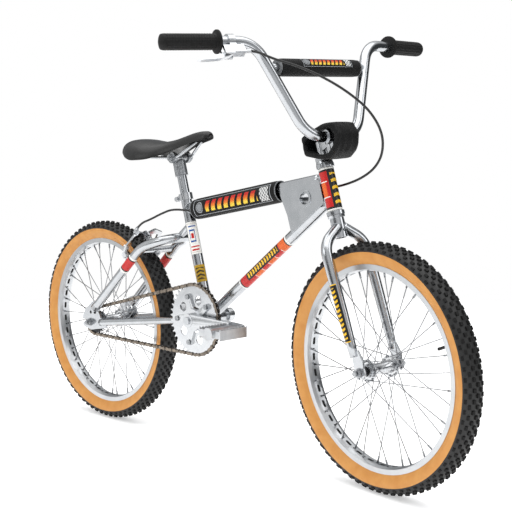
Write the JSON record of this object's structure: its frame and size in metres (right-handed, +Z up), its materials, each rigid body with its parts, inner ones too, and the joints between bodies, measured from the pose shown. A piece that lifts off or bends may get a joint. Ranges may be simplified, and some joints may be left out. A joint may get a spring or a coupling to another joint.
{
  "type": "bmx bike",
  "caption": "Twenty inch BMX bicycle: chromed steel frame with a looped tail, high-rise bar with three foam pads, spoked wheels, single-speed chain drive and a rear caliper brake.",
  "frame": {"origin": "on the ground midway between the two axles, in the frame's mid plane", "axes": "+X forwards along the frame, +Y to the rider's left, +Z up"},
  "size_m": [1.3944, 0.6999, 0.9309],
  "materials": {
    "chrome": "polished chrome plate",
    "steel": "bright zinc",
    "alloy": "polished",
    "tyre": "black tread with tan sides",
    "rubber": "matt",
    "pad": "woven nylon over foam",
    "saddle": "smooth",
    "casing": "satin",
    "chain": "oiled"
  },
  "bodies": {
    "frame": {"head_tube": "chrome", "top_tube": "chrome", "down_tube": "chrome", "head_gusset": "chrome", "seat_tube": "chrome", "seat_stay_loop": "chrome", "stay_bridges": "chrome", "chain_stays": "chrome", "rear_dropouts": "chrome", "bottom_bracket_shell": "chrome", "bottom_bracket_cups": "steel", "headset_cups": "chrome", "headset_bearings": "steel", "seat_clamp": "alloy", "top_tube_pad": "pad", "brake_cable_casing": "casing", "brake_inner_wire": "steel", "chain": "chain", "rear_axle": "steel", "brake_centre_bolt": "steel"},
    "fork": {"fork_steerer": "chrome", "fork_legs": "chrome", "headset_races": "chrome", "quill_stem": "alloy", "stem_bolts": "steel", "stem_pad": "pad", "handlebar": "chrome", "crossbar": "chrome", "crossbar_pad": "pad", "grips": "rubber", "brake_lever_bracket": "alloy", "front_axle": "steel"},
    "front_wheel": {"front_rim": "alloy", "front_tyre": "tyre", "front_inner_tube": "rubber", "front_spokes": "steel", "front_hub": "alloy", "front_hub_bearings": "steel"},
    "rear_wheel": {"rear_rim": "alloy", "rear_tyre": "tyre", "rear_inner_tube": "rubber", "rear_spokes": "steel", "rear_hub": "alloy", "rear_hub_bearings": "steel"},
    "freewheel": {"freewheel_sprocket": "steel"},
    "crank": {"crank_spindle": "chrome", "right_crank_arm": "chrome", "left_crank_arm": "chrome", "chainring": "alloy", "chainring_bolts": "steel", "pedal_spindles": "steel"},
    "right_pedal": {"right_pedal": "alloy"},
    "left_pedal": {"left_pedal": "alloy"},
    "seat": {"seatpost": "chrome", "saddle_clamp": "steel", "saddle_rails": "steel", "saddle": "saddle"},
    "brake_lever": {"brake_lever": "alloy"},
    "right_brake_arm": {"right_brake_arm": "alloy"},
    "left_brake_arm": {"left_brake_arm": "alloy"}
  },
  "joints": [
    {"name": "steer", "type": "hinge", "parent": "frame", "child": "fork", "pos_m": [0.31017, 0, 0.60447], "axis": [-0.2874, 0, 0.9578], "range_deg": [-53.5, 66.5], "deforming": ["brake_cable_casing"]},
    {"name": "front_wheel_spin", "type": "hinge", "parent": "fork", "child": "front_wheel", "pos_m": [0.44333, -0.00306, 0.25395], "axis": [0.1084, 0.9936, 0.0325], "continuous": true},
    {"name": "rear_wheel_spin", "type": "hinge", "parent": "frame", "child": "rear_wheel", "pos_m": [-0.4435, 0, 0.254], "axis": [0, 1, 0], "continuous": true},
    {"name": "crank_spin", "type": "hinge", "parent": "frame", "child": "crank", "pos_m": [-0.0615, 0, 0.3], "axis": [0, 1, 0], "continuous": true, "deforming": ["chain"]},
    {"name": "freewheel_spin", "type": "hinge", "parent": "frame", "child": "freewheel", "pos_m": [-0.4435, 0, 0.254], "axis": [0, 1, 0], "continuous": true},
    {"name": "right_pedal_spin", "type": "hinge", "parent": "crank", "child": "right_pedal", "pos_m": [0.1035, -0.1, 0.3], "axis": [0, 1, 0], "continuous": true},
    {"name": "left_pedal_spin", "type": "hinge", "parent": "crank", "child": "left_pedal", "pos_m": [-0.2265, 0.1, 0.3], "axis": [0, 1, 0], "continuous": true},
    {"name": "seatpost_slide", "type": "slide", "parent": "frame", "child": "seat", "axis": [-0.2706, 0, 0.9627], "range_m": [-0.04, 0.055]},
    {"name": "brake_lever_pull", "type": "hinge", "parent": "fork", "child": "brake_lever", "pos_m": [0.24815, -0.22536, 0.87028], "axis": [-0.7513, 0.2457, -0.6126], "range_deg": [0, 18], "stiffness_Nm_per_rad": 1.2, "springref_deg": -5.73, "deforming": ["brake_inner_wire", "brake_cable_casing"]},
    {"name": "left_brake_arm_swing", "type": "hinge", "parent": "frame", "child": "left_brake_arm", "pos_m": [-0.28532, 0, 0.47682], "axis": [-0.7071, 0, 0.7071], "range_deg": [0, 1.3]},
    {"name": "right_brake_arm_swing", "type": "hinge", "parent": "frame", "child": "right_brake_arm", "pos_m": [-0.28532, 0, 0.47682], "axis": [-0.7071, 0, 0.7071], "range_deg": [-1.3, 0]}
  ],
  "couplings": [
    {"joint": "freewheel_spin", "follows": "crank_spin", "ratio": 2.5},
    {"joint": "left_brake_arm_swing", "follows": "brake_lever_pull", "ratio": 0.072},
    {"joint": "right_brake_arm_swing", "follows": "brake_lever_pull", "ratio": -0.072}
  ]
}
